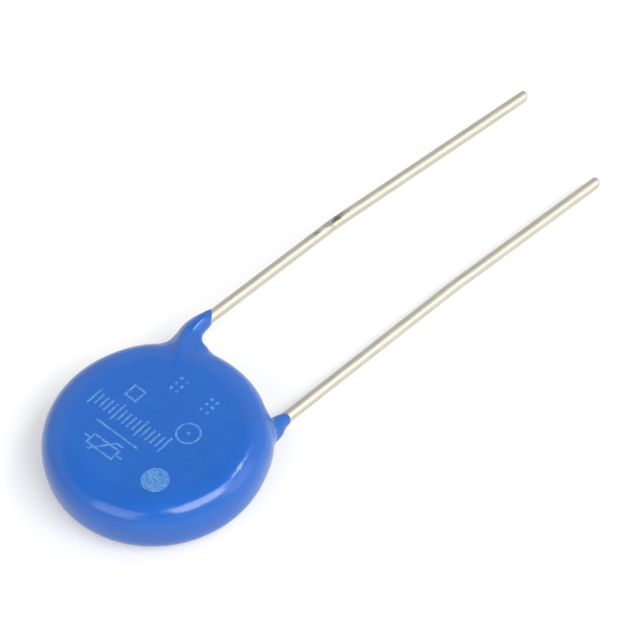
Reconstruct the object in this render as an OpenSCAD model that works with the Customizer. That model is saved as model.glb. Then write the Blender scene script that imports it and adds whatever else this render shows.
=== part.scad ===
// Metal oxide varistor: a round ceramic disc between two leads, dipped in epoxy.
// Millimetres, +Z up. The origin is the middle of the rear face, on which the part lies;
// +Z is the axis of the disc and the leads leave along +Y.

/* [Ceramic disc] */
// Diameter of the ceramic
ceramic_d = 13.8; // [13:0.1:14]
// Thickness of the ceramic
ceramic_h = 1.8; // [1.4:0.1:2]
// Bevel round both of its edges
ceramic_edge = 0.2; // [0.1:0.05:0.4]

/* [Electrodes] */
// Diameter of the silver film
electrode_d = 12.6; // [11:0.1:13]
// Thickness of the silver film
electrode_h = 0.04; // [0.02:0.01:0.06]

/* [Leads] */
// Diameter of the wire
wire_d = 0.8; // [0.6:0.05:0.8]
// Solder left between the electrode and the wire
wire_gap = 0.02; // [0.01:0.01:0.05]
// Where the front lead leaves the body, across the leads
front_x = -4.5; // [-5:0.1:-4]
// Where the rear lead leaves the body, across the leads
rear_x = 3.72; // [3.4:0.02:4.4]
// Where the front lead's slanted inner length would meet its straight outer one
front_corner_y = 6.99; // [6.7:0.01:7.2]
// Where the rear lead's slanted inner length would meet its straight outer one
rear_corner_y = 6.79; // [6.6:0.01:7.1]
// Radius of the front lead's bend at the rim
front_bend_r = 2.6; // [1.5:0.1:3]
// Radius of the rear lead's bend at the rim
rear_bend_r = 1.3; // [1:0.1:2.5]
// Length of the slanted part past the middle of the disc
inner_tail = 3; // [2:0.25:3]
// Where the front lead bends slightly again, towards +X
front_kink_y = 20.54; // [16:0.02:26]
// Angle of that slight bend
front_kink = 3.5; // [1:0.5:6]
// Where the rear lead bends slightly again, towards +X
rear_kink_y = 23.94; // [18:0.02:28]
// Angle of that slight bend
rear_kink = 2; // [1:0.5:6]
// Radius of both slight bends
kink_r = 14; // [8:1:20]
// How much thicker the bent wire is
bend_swell = 0.004; // [0.002:0.002:0.02]
// How far straight wire runs into a bend
bend_lap = 0.04; // [0.02:0.02:0.1]
// Where the front lead was sheared
front_end_y = 38.44; // [30:0.02:45]
// Where the rear lead was sheared
rear_end_y = 37.94; // [30:0.02:45]
// Slant of the front lead's sheared end, twice that of the rear lead's
end_cut = 24; // [0:2:40]

/* [Solder] */
// Inner end of each bead of solder, along its wire from the middle of the disc
solder_from = -3.5; // [-4:0.25:-3.25]
// Outer end of each bead
solder_to = 5; // [4:0.25:5.5]
// Half width of its foot on the electrode
solder_w = 0.95; // [0.8:0.05:1.2]
// Thickness of its foot's edge
solder_rim = 0.06; // [0.04:0.01:0.1]
// Thickness of the solder over the wire
solder_over = 0.06; // [0.04:0.01:0.12]
// How far its tapered ends draw in
solder_taper = 0.8; // [0.4:0.1:1.2]
// Half width that is left at its ends
solder_nose = 0.45; // [0.2:0.05:0.7]

/* [Coated disc] */
// Diameter over the coating
coat_d = 15.2; // [15:0.1:16]
// Thickness over the coating
coat_h = 4.4; // [4.3:0.1:5]
// Width of the rounded edge, seen from above
shoulder = 2.4; // [2:0.1:2.8]
// Its roundness: 2 is an ellipse, more is squarer
shoulder_power = 2.5; // [2.2:0.1:3]
// How much fuller the rim is where the coating ran together beside the front lead
front_run = 0.06; // [0:0.01:0.16]
// Direction of that fullness, from +X towards +Y
front_run_at = 144; // [136:1:160]
// How much fuller the rim is beside the rear lead
rear_run = 0.13; // [0:0.01:0.16]
// Direction of that fullness
rear_run_at = 44; // [20:1:50]
// Half width of both, as an angle
run_width = 12; // [8:1:20]

/* [Sleeves that the coating draws out along the leads] */
// How far the front sleeve reaches along its wire
front_sleeve = 10.43; // [9.8:0.01:11]
// How far the rear sleeve reaches along its wire
rear_sleeve = 9.05; // [8.9:0.01:9.8]
// How much further the front sleeve reaches for each millimetre towards its outer side
front_slant = 0.8; // [0:0.05:1]
// The same for the rear sleeve
rear_slant = 0.35; // [0:0.05:1]
// Radius of the lip round each wire
sleeve_tip_r = 0.42; // [0.42:0.01:0.5]
// Length over which a sleeve closes on its wire
sleeve_nose = 1.7; // [1.2:0.1:2]
// How far the end of a sleeve falls back 1 mm beside its middle
tip_round = 0.25; // [0:0.05:0.6]

/* [Ridges over the wires] */
// Height of the front ridge over its wire's axis, on the disc and out on the sleeve
front_ridge = [0.93, 0.64]; // [0.5:0.01:1]
// The same of the rear ridge
rear_ridge = [0.72, 0.56]; // [0.5:0.01:0.76]
// Distance from the middle where a ridge starts
ridge_from = 3.2; // [2.6:0.1:4]
// Distance from the middle where it has risen
ridge_to = 5.6; // [5:0.1:6.4]
// Height over the wire's axis that it rises from
ridge_start = 0.5; // [0.3:0.05:0.7]
// Distance from the middle where a ridge gets lower
ridge_change_from = 6; // [5:0.1:7]
// Distance from the middle where it is at its lower height
ridge_change_to = 8.6; // [7.8:0.1:9]
// How far the ridge's flanks draw in
ridge_pinch = 0.5; // [0:0.05:0.8]
// Half width of its rounded top
ridge_top = 0.6; // [0.2:0.05:1]

/* [Webs under the ridges] */
// Half width of the front sleeve under its ridge
front_web = 0.8; // [0.66:0.02:0.96]
// Half width of the rear sleeve under its ridge
rear_web = 0.8; // [0.66:0.02:0.96]
// Half thickness of both
web_thick = 0.58; // [0.5:0.02:0.7]
// How far they lie towards the middle plane
web_drop = 0.12; // [0:0.02:0.2]
// How deep they lie where the ridges start
web_sink = 0.6; // [0.4:0.05:1]
// Rounding between the ridges and that part
web_blend = 0.4; // [0.2:0.05:0.6]
// How much wider the front sleeve is at its root, on its outer and its inner side
front_root = [0.02, 0.52]; // [-0.1:0.02:0.6]
// Distance from the middle where the front sleeve widens
front_root_from = 9.3; // [8.8:0.1:9.8]
// Distance from the middle where its root is full
front_root_to = 7.4; // [7:0.1:8]
// How much wider the rear sleeve is at its root, on its outer and its inner side
rear_root = [0.22, -0.08]; // [-0.1:0.02:0.4]
// Distance from the middle where the rear sleeve widens
rear_root_from = 8.7; // [8.2:0.1:9]
// Distance from the middle where its root is full
rear_root_to = 7.2; // [6.8:0.1:7.8]

/* [Rounding between the disc and its sleeves] */
// Widest rounding, at the rim
blend = 0.8; // [0.4:0.05:1.2]
// Rounding on the faces
face_blend = 0.1; // [0.05:0.05:0.2]
// Distance from the middle where the rounding gets wider
blend_from = 5.6; // [5:0.1:6.4]
// Distance from the middle where it is widest
blend_to = 8; // [7:0.1:9]

/* [Smoothness] */
// Faces round the disc and along the bends
round_fn = 96; // [48:12:144]
// Faces round a wire
wire_fn = 36; // [24:6:60]
// Halvings in the search for the coating's surface
skin_steps = 16; // [12:1:20]

/* [Hidden] */
mid_z = coat_h / 2;
wire_z = ceramic_h / 2 + electrode_h + wire_gap + wire_d / 2;
// Direction of each slanted inner length, and how far its lead has to turn to run along +Y
front_heading = atan2(front_corner_y, front_x);
rear_heading = atan2(rear_corner_y, rear_x);
front_turn = 90 - front_heading;
rear_turn = 90 - rear_heading;
front_straight = norm([front_x, front_corner_y]) - front_bend_r * tan(abs(front_turn) / 2);
rear_straight = norm([rear_x, rear_corner_y]) - rear_bend_r * tan(abs(rear_turn) / 2);

// Half of a bead's section, from the foot up: a hollow flank that runs into a round top over the wire
solder_r = wire_d / 2 + solder_over;
solder_hip = 20;
hip = [solder_r * cos(solder_hip), wire_gap + wire_d / 2 + solder_r * sin(solder_hip)];
solder_section = concat(
    [[solder_w, 0]],
    [for (a = [90 : -30 : 30]) [solder_w - (solder_w - hip.x) * cos(a), hip.y - (hip.y - solder_rim) * sin(a)]],
    [for (a = [solder_hip : 20 : 80]) [solder_r * cos(a), wire_gap + wire_d / 2 + solder_r * sin(a)]]);

// Columns and rows of the rays that find the coating's surface, closest about the sleeves
fan = [-12, -9, -7, -5.5, -4.3, -3.3, -2.4, -1.6, -0.8, 0, 0.8, 1.6, 2.4, 3.3, 4.3, 5.5, 7, 9, 12];
fan_edge = fan[len(fan) - 1];
between = 5;
around = 37;
gap_between = front_heading - rear_heading - 2 * fan_edge;
gap_around = 360 - (front_heading - rear_heading) - 2 * fan_edge;
columns = concat(
    [for (a = fan) rear_heading + a],
    [for (i = [1 : between - 1]) rear_heading + fan_edge + gap_between * i / between],
    [for (a = fan) front_heading + a],
    [for (i = [1 : around - 1]) front_heading + fan_edge + gap_around * i / around]);
shoulder_angles = [4, 8, 11, 13, 15, 17, 19, 21, 23, 25, 27, 29, 32, 36, 41, 47, 54, 62, 71, 80];
flat_shares = [1, 0.94, 0.88, 0.81, 0.7, 0.55, 0.3];
upper_rows = concat(
    [for (a = shoulder_angles) shoulder_point(a)],
    [for (share = flat_shares) [(coat_d / 2 - shoulder) * share, coat_h / 2]]);
top_row = len(upper_rows) - 1;
rows = concat(
    [for (i = [top_row : -1 : 0]) [upper_rows[i][0], -upper_rows[i][1]]],
    [[coat_d / 2, 0]],
    upper_rows);

// Point [radius, height] on the rounded edge, 0 at the rim and 90 where the flat face begins
function shoulder_point(a) = [
    coat_d / 2 - shoulder + shoulder * pow(cos(a), 2 / shoulder_power),
    coat_h / 2 * pow(sin(a), 2 / shoulder_power)];

function clamp01(v) = max(0, min(1, v));
function ease(v) = let (u = clamp01(v)) u * u * (3 - 2 * u);

// How much fuller the rim is in one direction: a bell about each place where the coating ran together
function run_height(a) =
    front_run * exp(-pow((a - front_run_at) / run_width, 2))
    + rear_run * exp(-pow((a - rear_run_at) / run_width, 2));

// Below zero inside the rounded disc, above zero outside it
function disc_value(p) =
    let (rim = coat_d / 2 + run_height(atan2(p.y, p.x)),
         across = max(norm([p.x, p.y]) - rim + shoulder, 0) / shoulder,
         up = abs(p.z) / (coat_h / 2))
    (pow(pow(across, shoulder_power) + pow(up, shoulder_power), 1 / shoulder_power) - 1) * coat_h / 2;

// Both shapes flow into each other where their values differ by less than the reach
function blended(a, b, reach) =
    let (h = max(reach - abs(a - b), 0) / reach)
    min(a, b) - h * h * reach / 4;

// The same as disc_value for the sleeve about one wire, before the wire is bent: a ridge over the
// wire blended with a flatter web under it. The outer side is +1 or -1 times the left-hand side.
function sleeve_value(p, heading, z, outer, tip, slant, ridge, web, root, root_from, root_to) =
    let (along = p.x * cos(heading) + p.y * sin(heading),
         side = p.y * cos(heading) - p.x * sin(heading),
         up = (p.z - z) * sign(z),
         left = tip + slant * outer * side - tip_round * side * side - along,
         nose = 1 - clamp01(left / sleeve_nose),
         open = 1 - nose * nose,
         rise = ease((along - ridge_from) / (ridge_to - ridge_from)),
         change = ease((along - ridge_change_from) / (ridge_change_to - ridge_change_from)),
         height = sleeve_tip_r + (ridge[0] + (ridge[1] - ridge[0]) * change - sleeve_tip_r) * open,
         narrow = ridge_pinch * open * (norm([side, ridge_top]) - ridge_top),
         crest = norm([side, up]) + narrow - ridge_start - (height - ridge_start) * rise,
         spread = ease((along - root_from) / (root_to - root_from)),
         half_w = sleeve_tip_r + (web - sleeve_tip_r) * open + (root[0] + root[1]) / 2 * spread,
         half_h = sleeve_tip_r + (web_thick - sleeve_tip_r) * open,
         shift = outer * (root[1] - root[0]) / 2 * spread,
         oval = norm([(side + shift) / half_w, (up + web_drop * open) / half_h]),
         under = (oval - 1) * half_h + web_sink * (1 - rise))
    max(blended(crest, under, 0.02 + web_blend * open), -left, ridge_from - along);

function skin_value(p) = blended(
    disc_value(p),
    min(sleeve_value(p, front_heading, wire_z, 1, front_sleeve, front_slant, front_ridge,
                     front_web, front_root, front_root_from, front_root_to),
        sleeve_value(p, rear_heading, -wire_z, -1, rear_sleeve, rear_slant, rear_ridge,
                     rear_web, rear_root, rear_root_from, rear_root_to)),
    face_blend + (blend - face_blend) * ease((norm([p.x, p.y]) - blend_from) / (blend_to - blend_from)));

// Halves the stretch of a ray that holds the surface until it is short enough
function reach(ray, low, high, steps) =
    steps == 0 ? ray * (low + high) / 2 :
    let (middle = (low + high) / 2)
    skin_value(ray * middle) > 0 ? reach(ray, low, middle, steps - 1) : reach(ray, middle, high, steps - 1);

// Carries a point of the straight sleeve round the bend of its wire
function follow(p, heading, straight, radius, turn) =
    let (along = p.x * cos(heading) + p.y * sin(heading),
         side = p.y * cos(heading) - p.x * sin(heading),
         past = along - straight,
         hand = sign(turn),
         angle = min(past / radius * 180 / PI, abs(turn)),
         rest = past - angle * PI / 180 * radius,
         way = heading + hand * angle,
         centre = [straight * cos(heading) - hand * radius * sin(heading),
                   straight * sin(heading) + hand * radius * cos(heading)])
    past <= 0 ? p :
    [centre.x + rest * cos(way) - (side - hand * radius) * sin(way),
     centre.y + rest * sin(way) + (side - hand * radius) * cos(way),
     p.z];

function bent(p) = p.x < 0
    ? follow(p, front_heading, front_straight, front_bend_r, front_turn)
    : follow(p, rear_heading, rear_straight, rear_bend_r, rear_turn);

// The dipped skin as one closed surface, filled solid
module skin() {
    wide = len(columns);
    high = len(rows);
    points = concat(
        [for (row = rows) for (a = columns)
            bent(reach([row[0] * cos(a), row[0] * sin(a), row[1]], 0.6, 1.8, skin_steps))],
        [reach([0, 0, -coat_h / 2], 0.6, 1.8, skin_steps), reach([0, 0, coat_h / 2], 0.6, 1.8, skin_steps)]);
    bottom = wide * high;
    faces = concat(
        [for (j = [0 : high - 2]) for (i = [0 : wide - 1]) let (k = (i + 1) % wide)
            [j * wide + i, (j + 1) * wide + i, (j + 1) * wide + k]],
        [for (j = [0 : high - 2]) for (i = [0 : wide - 1]) let (k = (i + 1) % wide)
            [j * wide + i, (j + 1) * wide + k, j * wide + k]],
        [for (i = [0 : wide - 1]) [bottom, i, (i + 1) % wide]],
        [for (i = [0 : wide - 1]) [bottom + 1, (high - 1) * wide + (i + 1) % wide, (high - 1) * wide + i]]);
    polyhedron(points = points, faces = faces, convexity = 6);
}

// Straight wire, which laps into the bends at the ends that have one
module wire(length, lap_before = bend_lap, lap_after = bend_lap) {
    translate([0, -lap_before, 0]) rotate([-90, 0, 0])
        cylinder(d = wire_d, h = length + lap_before + lap_after, $fn = wire_fn);
    translate([0, length, 0]) children();
}

// Turns the wire that follows: an angle above zero turns it towards +X
module bend(angle, radius) {
    side = sign(angle);
    translate([side * radius, 0, 0]) {
        rotate([0, 0, side > 0 ? 180 - angle : 0])
            rotate_extrude(angle = abs(angle), $fn = round_fn)
                translate([radius, 0]) circle(d = wire_d + bend_swell, $fn = wire_fn);
        rotate([0, 0, -angle]) translate([-side * radius, 0, 0]) children();
    }
}

// One lead from its inner end to where it was sheared
module lead(x, corner_y, heading, straight, bend_r, kink_y, kink, end_y, cut) {
    turn = heading - 90;
    after_bend = corner_y + bend_r * tan(abs(turn) / 2);
    before_kink = kink_y - kink_r * tan(kink / 2);
    last = (end_y - kink_y) / cos(kink) - kink_r * tan(kink / 2);
    difference() {
        rotate([0, 0, turn]) translate([0, -inner_tail, 0])
            wire(inner_tail + straight, lap_before = 0)
                bend(turn, bend_r)
                    wire(before_kink - after_bend)
                        bend(kink, kink_r)
                            wire(last);
        translate([x + tan(kink) * (end_y - kink_y), end_y, 0])
            rotate([0, 0, cut]) translate([-2, 0, -2]) cube([4, 4, 4]);
    }
}

module front_wire() {
    translate([0, 0, wire_z]) lead(front_x, front_corner_y, front_heading, front_straight, front_bend_r,
        front_kink_y, front_kink, front_end_y, -end_cut);
}

module rear_wire() {
    translate([0, 0, -wire_z]) lead(rear_x, rear_corner_y, rear_heading, rear_straight, rear_bend_r,
        rear_kink_y, rear_kink, rear_end_y, -end_cut / 2);
}

// A bead of solder along one wire, standing on z = 0 and reaching a depth below it
module bead(depth) {
    half = depth > 0 ? concat([[solder_section[0][0], -depth]], solder_section) : solder_section;
    section = concat(half, [for (i = [len(half) - 1 : -1 : 0]) [-half[i][0], half[i][1]]]);
    wide = solder_section[0][0] + 0.1;
    intersection() {
        translate([0, solder_from - 1, 0]) rotate([90, 0, 180]) linear_extrude(solder_to - solder_from + 2)
            polygon(section);
        translate([0, 0, -depth - 1]) linear_extrude(depth + 3) polygon([
            [-solder_nose, solder_from], [solder_nose, solder_from],
            [wide, solder_from + solder_taper], [wide, solder_to - solder_taper],
            [solder_nose, solder_to], [-solder_nose, solder_to],
            [-wide, solder_to - solder_taper], [-wide, solder_from + solder_taper]]);
    }
}

module front_bead(depth = 0) {
    translate([0, 0, ceramic_h / 2 + electrode_h]) rotate([0, 0, front_heading - 90]) bead(depth);
}

module rear_bead(depth = 0) {
    translate([0, 0, -ceramic_h / 2 - electrode_h]) mirror([0, 0, 1])
        rotate([0, 0, rear_heading - 90]) bead(depth);
}

module pellet() {
    rotate_extrude($fn = round_fn) polygon([
        [0, -ceramic_h / 2],
        [ceramic_d / 2 - ceramic_edge, -ceramic_h / 2],
        [ceramic_d / 2, -ceramic_h / 2 + ceramic_edge],
        [ceramic_d / 2, ceramic_h / 2 - ceramic_edge],
        [ceramic_d / 2 - ceramic_edge, ceramic_h / 2],
        [0, ceramic_h / 2]]);
}

module electrode(z) {
    translate([0, 0, z]) cylinder(d = electrode_d, h = electrode_h, $fn = round_fn);
}

module zinc_oxide_disc() {
    color("#3b3a38") translate([0, 0, mid_z]) pellet();
}

module front_electrode() {
    color("#c9c7c0") translate([0, 0, mid_z]) electrode(ceramic_h / 2);
}

module rear_electrode() {
    color("#c9c7c0") translate([0, 0, mid_z]) electrode(-ceramic_h / 2 - electrode_h);
}

module front_lead() {
    color("#c4c1b6") translate([0, 0, mid_z]) front_wire();
}

module rear_lead() {
    color("#c4c1b6") translate([0, 0, mid_z]) rear_wire();
}

module front_solder_joint() {
    color("#a9abab") translate([0, 0, mid_z]) difference() {
        front_bead();
        front_wire();
    }
}

module rear_solder_joint() {
    color("#a9abab") translate([0, 0, mid_z]) difference() {
        rear_bead();
        rear_wire();
    }
}

module epoxy_coating() {
    color("#2f6fd0") translate([0, 0, mid_z]) difference() {
        skin();
        pellet();
        translate([0, 0, -ceramic_h / 2 - electrode_h])
            cylinder(d = electrode_d, h = ceramic_h + 2 * electrode_h, $fn = round_fn);
        front_bead(ceramic_h / 2);
        rear_bead(ceramic_h / 2);
        front_wire();
        rear_wire();
    }
}

zinc_oxide_disc();
front_electrode();
rear_electrode();
front_lead();
rear_lead();
front_solder_joint();
rear_solder_joint();
epoxy_coating();
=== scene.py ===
"""Detailed surfaces, finishes and studio for a metal oxide varistor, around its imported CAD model.

Everything is in metres in the CAD frame: the origin is the middle of the rear face, +Z is the
axis of the disc and the leads leave along +Y.
"""

import math
from types import SimpleNamespace

import bpy
import numpy as np
from bpy.props import FloatProperty, FloatVectorProperty, PointerProperty, StringProperty
from bpy.types import Operator, Panel, PropertyGroup
from mathutils import Matrix, Vector


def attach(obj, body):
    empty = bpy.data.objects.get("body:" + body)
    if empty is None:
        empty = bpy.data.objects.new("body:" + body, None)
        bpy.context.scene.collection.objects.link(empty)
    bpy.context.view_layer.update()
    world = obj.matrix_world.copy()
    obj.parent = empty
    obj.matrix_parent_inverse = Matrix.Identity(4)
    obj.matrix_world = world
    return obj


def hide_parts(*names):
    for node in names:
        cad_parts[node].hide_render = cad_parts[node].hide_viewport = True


bl_info = {
    "name": "Metal Oxide Varistor",
    "version": (1, 0, 0),
    "blender": (4, 5, 0),
    "location": "View3D > Sidebar > Varistor",
    "description": "Surfaces, finishes and studio of a leaded disc varistor",
    "category": "Add Mesh",
}

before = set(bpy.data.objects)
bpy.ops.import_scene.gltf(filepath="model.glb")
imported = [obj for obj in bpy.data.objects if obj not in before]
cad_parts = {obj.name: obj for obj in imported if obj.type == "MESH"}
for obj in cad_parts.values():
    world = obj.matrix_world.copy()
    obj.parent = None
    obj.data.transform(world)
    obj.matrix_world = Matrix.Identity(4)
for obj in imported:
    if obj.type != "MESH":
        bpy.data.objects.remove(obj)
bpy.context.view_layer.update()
MM = 0.001
# Corners of a square of half side 1
SQUARE = ((-1, -1), (1, -1), (1, 1), (-1, 1))
# Each lead and the side of the middle plane on which it lies
LEADS = {"front": 1, "rear": -1}
# The two scuffs on the front wire: middle and half lengths in mm, and how dark each is
SCUFFS = (
    ((-4.47, 20.83, 3.94), (0.26, 0.85, 0.28), 0.9),
    ((-4.52, 18.95, 3.93), (0.14, 0.35, 0.16), 0.6))
SCUFF_DEPTH = 0.03 * MM


def length(name, description, default):
    """A length property in metres, from a default in millimetres."""
    return FloatProperty(
        name=name, description=description, default=default * MM, unit="LENGTH", precision=5)


def angle(name, description, default):
    """An angle property in radians, from a default in degrees."""
    return FloatProperty(
        name=name, description=description, default=math.radians(default), subtype="ANGLE")


def number(name, description, default):
    """A plain number, such as a share or a power."""
    return FloatProperty(name=name, description=description, default=default)


def colour(name, description, default):
    """A colour property that holds an sRGB hex value."""
    return StringProperty(name=name, description=description, default=default)


class LeadSettings(PropertyGroup):
    wire: length("Wire", "Diameter of the tinned wire", 0.8)
    offset: length("Offset", "Height of each wire's axis from the middle of the disc", 1.36)
    tail: length("Tail", "Length of the slanted part past the middle of the disc", 3.0)
    front_x: length("Front lead", "Where it leaves the body, across the leads", -4.5)
    rear_x: length("Rear lead", "Where it leaves the body, across the leads", 3.72)
    front_corner: length("Front corner", "Where its slanted and straight lines meet", 6.99)
    rear_corner: length("Rear corner", "Where its slanted and straight lines meet", 6.79)
    front_bend: length("Front bend", "Radius of its bend at the rim", 2.6)
    rear_bend: length("Rear bend", "Radius of its bend at the rim", 1.3)
    front_kink_at: length("Front kink at", "Where it bends slightly again", 20.54)
    rear_kink_at: length("Rear kink at", "Where it bends slightly again", 23.94)
    front_kink: angle("Front kink", "Angle of its slight bend", 3.5)
    rear_kink: angle("Rear kink", "Angle of its slight bend", 2.0)
    kink_radius: length("Kink radius", "Radius of the slight bends", 14.0)
    front_end: length("Front end", "Where it was sheared", 38.13)
    rear_end: length("Rear end", "Where it was sheared", 37.56)
    front_cut: angle("Front cut", "Slope of its sheared end, whose top is longer", 25.0)
    rear_cut: angle("Rear cut", "Slope of its sheared end, whose top is longer", 27.0)
    cut_edge: length("Cut edge", "Rounding of the sheared ends' edge", 0.09)
    tin: colour("Tin", "Colour of the tin where it is thin", "#DAD6CB")
    thick_tin: colour("Thick tin", "Colour of the tin in thicker patches", "#C4BFB2")
    scuff: colour("Scuff", "Colour where pliers scuffed the tin", "#77746A")
    copper: colour("Copper", "Colour of the sheared ends", "#85786A")


class CoatingSettings(PropertyGroup):
    diameter: length("Diameter", "Coated diameter of the disc", 15.2)
    height: length("Height", "Thickness over both faces", 4.4)
    shoulder: length("Shoulder", "Width of the rounded edge, seen from above", 2.4)
    power: number("Shoulder power", "2 is an ellipse, more is squarer", 2.5)
    front_run: length("Front run", "How much fuller the rim is beside the front lead", 0.06)
    front_run_at: angle("Front run at", "Its direction, from +X towards +Y", 144.0)
    rear_run: length("Rear run", "How much fuller the rim is beside the rear lead", 0.13)
    rear_run_at: angle("Rear run at", "Its direction, from +X towards +Y", 44.0)
    run_width: angle("Run width", "Half width of both, as an angle", 12.0)
    front_reach: length("Front sleeve", "How far the coating follows the front wire", 10.48)
    rear_reach: length("Rear sleeve", "How far the coating follows the rear wire", 9.1)
    front_slant: number("Front slant", "How much further the sleeve reaches on its outer side", 0.8)
    rear_slant: number("Rear slant", "How much further the sleeve reaches on its outer side", 0.35)
    tip_r: length("Tip radius", "Radius of the coating's lip round each wire", 0.42)
    nose: length("Nose", "Length over which a sleeve closes on its wire", 1.6)
    tip_round: length("Tip roundness", "How far the corners of a sleeve's end fall back", 0.4)
    tip_width: length("Tip width", "How far beside the wire they have fallen back fully", 0.5)
    front_ridge: length("Front ridge", "Height of the ridge over its wire's axis, on the disc", 0.93)
    front_ridge_out: length("Front ridge outside", "The same height out on the sleeve", 0.64)
    rear_ridge: length("Rear ridge", "Height of the ridge over its wire's axis, on the disc", 0.72)
    rear_ridge_out: length("Rear ridge outside", "The same height out on the sleeve", 0.56)
    ridge_change_from: length("Ridge falls from", "How far out it starts to get lower", 6.0)
    ridge_change_to: length("Ridge falls to", "How far out it has got lower", 8.6)
    ridge_from: length("Ridge from", "How far out the ridge starts", 3.2)
    ridge_to: length("Ridge to", "How far out it has risen", 5.6)
    ridge_start: length("Ridge start", "Height over the wire's axis that the ridge rises from", 0.5)
    ridge_pinch: number("Ridge pinch", "How far the ridge's flanks draw in", 0.5)
    ridge_top: length("Ridge top", "Half width of the ridge's rounded top", 0.36)
    front_web: length("Front web", "Half width of the sleeve under its ridge", 0.84)
    rear_web: length("Rear web", "Half width of the sleeve under its ridge", 0.8)
    web_thick: length("Web thickness", "Half thickness of both sleeves under their ridges", 0.58)
    web_drop: length("Web drop", "How far that part lies towards the middle plane", 0.12)
    web_sink: length("Web sink", "How deep it lies under the faces where the ridge starts", 0.6)
    web_blend: length("Web blend", "Rounding between the ridge and that part", 0.4)
    front_root_outer: length("Front root, outer", "How much wider the sleeve's root is, outside", 0.02)
    front_root_inner: length("Front root, inner", "The same on its inner side", 0.52)
    rear_root_outer: length("Rear root, outer", "How much wider the sleeve's root is, outside", 0.22)
    rear_root_inner: length("Rear root, inner", "The same on its inner side", -0.08)
    front_root_from: length("Front root from", "How far out its root starts to widen", 9.3)
    front_root_to: length("Front root to", "How far out its root is fully wide", 7.4)
    rear_root_from: length("Rear root from", "How far out its root starts to widen", 8.7)
    rear_root_to: length("Rear root to", "How far out its root is fully wide", 7.2)
    blend: length("Blend", "Widest rounding between the disc and its sleeves", 0.8)
    face_blend: length("Face blend", "The same on the faces", 0.1)
    blend_from: length("Blend from", "How far out that rounding starts", 5.6)
    blend_to: length("Blend to", "How far out it is full", 8.0)
    wrinkle: length("Wrinkles", "Height of the unevenness along the ridges", 0.012)
    colour: colour("Epoxy", "Colour of the dipped epoxy", "#1E60BA")


class MarkSettings(PropertyGroup):
    turn: angle("Turn", "Direction in which the marks run, from +X towards +Y", 184.6)
    stroke: length("Stroke", "Width of a marked line", 0.15)
    proud: length("Proud", "How far the marked skin stands up", 0.008)
    sunk: length("Sunk", "How far the marks reach into the skin", 0.02)
    colour: colour("Marks", "Colour of the bleached skin", "#5C95CC")


class StudioSettings(PropertyGroup):
    distance: length("Distance", "From the camera to the point it looks at", 220.0)
    elevation: angle("Elevation", "Angle of the view below the horizon", 51.3)
    azimuth: angle("Azimuth", "Heading of the view, from +Y towards +X", -48.7)
    roll: angle("Roll", "Turn of the camera about its own axis", -3.2)
    target: FloatVectorProperty(
        name="Target", description="Point the camera looks at",
        default=(0.12 * MM, 14.77 * MM, 2.2 * MM), unit="LENGTH")
    lens: number("Lens", "Focal length in millimetres on a 36 mm sensor", 182.8)
    tent: number("Tent", "Brightness of the white tent, where 1 is white", 0.68)
    horizon: number("Horizon", "Its brightness low down, where it is lit best", 0.95)
    horizon_inner: angle("Horizon inner", "Angle from the opening at which it gets brighter", 50.0)
    horizon_outer: angle("Horizon outer", "Angle from the opening at which it is brightest", 58.0)
    gap: number("Gap", "Brightness of the tent's one darker opening", 0.27)
    gap_azimuth: angle("Gap azimuth", "Direction of the opening, from the camera to the right", 0.0)
    gap_elevation: angle("Gap elevation", "Its height over the horizon", 80.0)
    gap_inner: angle("Gap inner", "Angle from its middle where it starts to brighten", 43.0)
    gap_outer: angle("Gap outer", "Angle from its middle where it is as bright as the tent", 50.0)
    floor_tone: number("Floor tone", "Share of light that the floor gives back", 0.66)
    floor_glow: number("Floor glow", "Brightness added for the camera and reflections", 0.32)


def linear(hex_value):
    """sRGB hex to linear RGBA: the power of 2.4 curve, with its straight toe."""
    channels = [int(hex_value[i:i + 2], 16) / 255 for i in (1, 3, 5)]
    return (*[c / 12.92 if c <= 0.04045 else ((c + 0.055) / 1.055) ** 2.4 for c in channels], 1.0)


def ease(v):
    """Smooth step from 0 to 1: three squares less two cubes of the clamped value."""
    u = np.clip(v, 0, 1)
    return u * u * (3 - 2 * u)


def one_side(settings, lead, keys):
    """The settings of one lead or its sleeve by their plain names, without front_ or rear_."""
    return SimpleNamespace(**{key: getattr(settings, f"{lead}_{key}") for key in keys})


def add_object(name, data):
    """A new object of the scene with this data."""
    thing = bpy.data.objects.new(name, data)
    bpy.context.scene.collection.objects.link(thing)
    return thing


def mesh_object(name, points, faces, material):
    """A smooth mesh object from points and faces, on the part's body."""
    mesh = bpy.data.meshes.new(name)
    mesh.from_pydata(points.tolist(), [], faces)
    mesh.shade_smooth()
    mesh.update()
    mesh.materials.append(material)
    thing = add_object(name, mesh)
    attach(thing, "root")
    return thing


def grid_faces(rows, columns):
    """Quads of a grid of points stored row by row, closed round each row."""
    j, i = np.mgrid[0:rows - 1, 0:columns]
    k = (i + 1) % columns
    row, above = j * columns, (j + 1) * columns
    return np.stack([row + i, row + k, above + k, above + i], -1).reshape(-1, 4)


def capped_tube(rings):
    """Points and faces of a closed tube: rings of shape (rows, columns, 3), and a fan at each end from
    the mean of its ring's points."""
    rows, columns, _ = rings.shape
    points = np.concatenate([rings.reshape(-1, 3), [rings[0].mean(0)], [rings[-1].mean(0)]])
    i = np.arange(columns)
    k = (i + 1) % columns
    start = (rows - 1) * columns
    first = np.stack([np.full(columns, rows * columns), k, i], -1)
    last = np.stack([np.full(columns, rows * columns + 1), start + i, start + k], -1)
    return points, grid_faces(rows, columns).tolist() + first.tolist() + last.tolist()


# Materials

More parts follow.
